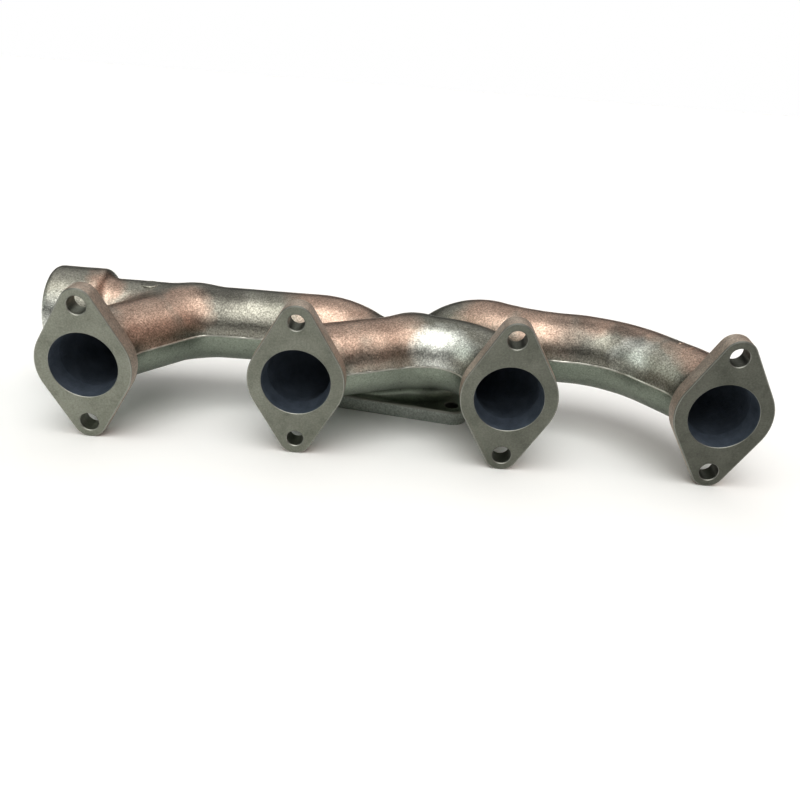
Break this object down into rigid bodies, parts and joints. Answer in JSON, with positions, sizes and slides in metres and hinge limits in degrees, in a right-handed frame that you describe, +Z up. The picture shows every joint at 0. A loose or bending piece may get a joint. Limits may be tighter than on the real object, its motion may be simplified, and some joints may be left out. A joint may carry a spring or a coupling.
{
  "type": "exhaust manifold",
  "caption": "Cast-iron exhaust manifold for an engine: separate oval port flanges, swept round runners, a straight log with an open end boss, and a rectangular turbo flange underneath.",
  "frame": {"origin": "centre of port 1's bore on the gasket face, at the open-boss end of the row of ports", "axes": "+X along the row of ports towards port 4, +Y away from the cylinder head into the casting, +Z up, away from the turbo flange"},
  "size_m": [0.4265, 0.1394, 0.0949],
  "materials": {
    "cast_iron": "rough sand-cast, grey with a faint green and copper tint",
    "machined_iron": "milled flat faces, dull grey"
  },
  "bodies": {
    "root": {"port_flange_1": "machined_iron", "port_flange_2": "machined_iron", "port_flange_3": "machined_iron", "port_flange_4": "machined_iron", "runner_1_bend": "cast_iron", "runner_1_pipe": "cast_iron", "runner_2_bend": "cast_iron", "runner_2_pipe": "cast_iron", "runner_3_bend": "cast_iron", "runner_4_bend": "cast_iron", "runner_4_link": "cast_iron", "runner_4_sweep": "cast_iron", "runner_4_veer": "cast_iron", "runner_4_elbow": "cast_iron", "log_end_boss": "cast_iron", "log_shoulder": "cast_iron", "log_pipe": "cast_iron", "log_elbow": "cast_iron", "runner_junction": "cast_iron", "junction_elbow": "cast_iron", "collector_neck": "cast_iron", "turbo_flange": "machined_iron", "casting_pad": "cast_iron"}
  },
  "joints": []
}
